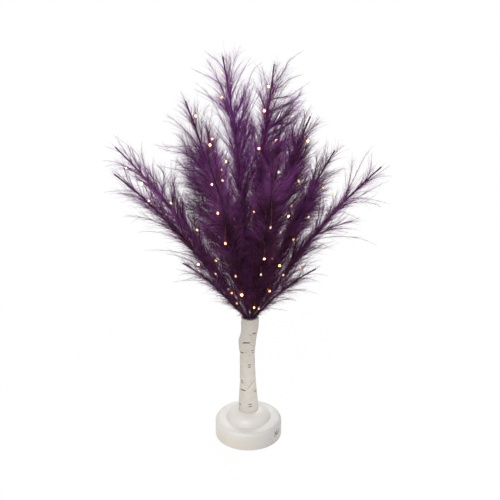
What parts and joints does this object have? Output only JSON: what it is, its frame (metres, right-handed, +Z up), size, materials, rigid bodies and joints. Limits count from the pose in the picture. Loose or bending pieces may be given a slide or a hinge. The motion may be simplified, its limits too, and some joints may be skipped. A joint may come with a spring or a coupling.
{
  "type": "feather tree lamp",
  "caption": "Battery table lamp: a birch-look trunk on a round stepped base, with a crown of dyed plumes that hold strings of small warm lights.",
  "frame": {"origin": "middle of the round base, on the plane its rubber feet rest on", "axes": "+Z up the trunk, -Y to the front, +X to the right as seen from the front"},
  "size_m": [0.3943, 0.3426, 0.6053],
  "materials": {
    "base_plastic": "warm white moulded plastic, satin",
    "birch_bark": "pale birch bark finish with dark marks, matt",
    "holder_plastic": "dark moulded plastic",
    "plume_fibre": "dyed purple plume fibre",
    "stem_wire": "dark lacquered wire",
    "light_wire": "enamelled copper wire with clear lamp beads",
    "cell_case": "plain satin sleeve",
    "bright_steel": "plated steel",
    "foot_rubber": "black rubber",
    "board_laminate": "green board laminate",
    "black_plastic": "black plastic",
    "lead_insulation": "soft insulated lead"
  },
  "bodies": {
    "root": {"base_shell": "base_plastic", "base_floor": "base_plastic", "batteries": "cell_case", "battery_springs": "bright_steel", "contact_plates": "bright_steel", "floor_screws": "bright_steel", "trunk_screws": "bright_steel", "foot_pads": "foot_rubber", "timer_board": "board_laminate", "timer_chip": "black_plastic", "switch_body": "black_plastic", "trunk": "birch_bark", "stem_holder": "holder_plastic", "light_harness": "lead_insulation", "inner_leads": "lead_insulation", "stem_back_left_high": "stem_wire", "plume_back_left_high": "plume_fibre", "lights_back_left_high": "light_wire", "stem_crown_left": "stem_wire", "plume_crown_left": "plume_fibre", "lights_crown_left": "light_wire", "stem_crown_right": "stem_wire", "plume_crown_right": "plume_fibre", "lights_crown_right": "light_wire", "stem_right_high": "stem_wire", "plume_right_high": "plume_fibre", "lights_right_high": "light_wire"},
    "battery_door": {"battery_door": "base_plastic"},
    "switch_slider": {"switch_knob": "black_plastic"},
    "branch_right_back": {"stem_right_back": "stem_wire", "plume_right_back": "plume_fibre", "lights_right_back": "light_wire"},
    "branch_back_right": {"stem_back_right": "stem_wire", "plume_back_right": "plume_fibre", "lights_back_right": "light_wire"},
    "branch_back_left": {"stem_back_left": "stem_wire", "plume_back_left": "plume_fibre", "lights_back_left": "light_wire"},
    "branch_left_back": {"stem_left_back": "stem_wire", "plume_left_back": "plume_fibre", "lights_left_back": "light_wire"},
    "branch_left_low": {"stem_left_low": "stem_wire", "plume_left_low": "plume_fibre", "lights_left_low": "light_wire"},
    "branch_front_left_low": {"stem_front_left_low": "stem_wire", "plume_front_left_low": "plume_fibre", "lights_front_left_low": "light_wire"},
    "branch_front_left": {"stem_front_left": "stem_wire", "plume_front_left": "plume_fibre", "lights_front_left": "light_wire"},
    "branch_front_right": {"stem_front_right": "stem_wire", "plume_front_right": "plume_fibre", "lights_front_right": "light_wire"},
    "branch_front_right_low": {"stem_front_right_low": "stem_wire", "plume_front_right_low": "plume_fibre", "lights_front_right_low": "light_wire"},
    "branch_right_low": {"stem_right_low": "stem_wire", "plume_right_low": "plume_fibre", "lights_right_low": "light_wire"}
  },
  "joints": [
    {"name": "battery_door_hinge", "type": "hinge", "parent": "root", "child": "battery_door", "pos_m": [0, -0.0296, 0.0029], "axis": [-1, 0, 0], "range_deg": [0, 90]},
    {"name": "switch_slide", "type": "slide", "parent": "root", "child": "switch_slider", "axis": [0.5299, 0.848, 0], "range_m": [-0.002, 0.002]},
    {"name": "right_back_lean", "type": "hinge", "parent": "root", "child": "branch_right_back", "pos_m": [0.00781, 0.00451, 0.207], "axis": [-0.6691, 0.7431, 0], "range_deg": [0, 25]},
    {"name": "back_right_lean", "type": "hinge", "parent": "root", "child": "branch_back_right", "pos_m": [0.00409, 0.00695, 0.207], "axis": [-0.9659, 0.2588, 0], "range_deg": [0, 25]},
    {"name": "back_left_lean", "type": "hinge", "parent": "root", "child": "branch_back_left", "pos_m": [-0.00036, 0.00673, 0.207], "axis": [-0.9336, -0.3584, 0], "range_deg": [0, 25]},
    {"name": "left_back_lean", "type": "hinge", "parent": "root", "child": "branch_left_back", "pos_m": [-0.00382, 0.00394, 0.207], "axis": [-0.2756, -0.9613, 0], "range_deg": [0, 25]},
    {"name": "left_low_lean", "type": "hinge", "parent": "root", "child": "branch_left_low", "pos_m": [-0.00499, -0.00035, 0.207], "axis": [0.309, -0.9511, 0], "range_deg": [0, 25]},
    {"name": "front_left_low_lean", "type": "hinge", "parent": "root", "child": "branch_front_left_low", "pos_m": [-0.00341, -0.00451, 0.207], "axis": [0.7193, -0.6947, 0], "range_deg": [0, 25]},
    {"name": "front_left_lean", "type": "hinge", "parent": "root", "child": "branch_front_left", "pos_m": [0.00031, -0.00695, 0.207], "axis": [0.9336, -0.3584, 0], "range_deg": [0, 25]},
    {"name": "front_right_lean", "type": "hinge", "parent": "root", "child": "branch_front_right", "pos_m": [0.00476, -0.00673, 0.207], "axis": [0.9659, 0.2588, 0], "range_deg": [0, 25]},
    {"name": "front_right_low_lean", "type": "hinge", "parent": "root", "child": "branch_front_right_low", "pos_m": [0.00822, -0.00394, 0.207], "axis": [0.766, 0.6428, 0], "range_deg": [0, 25]},
    {"name": "right_low_lean", "type": "hinge", "parent": "root", "child": "branch_right_low", "pos_m": [0.00939, 0.00035, 0.207], "axis": [0.1045, 0.9945, 0], "range_deg": [0, 25]}
  ]
}
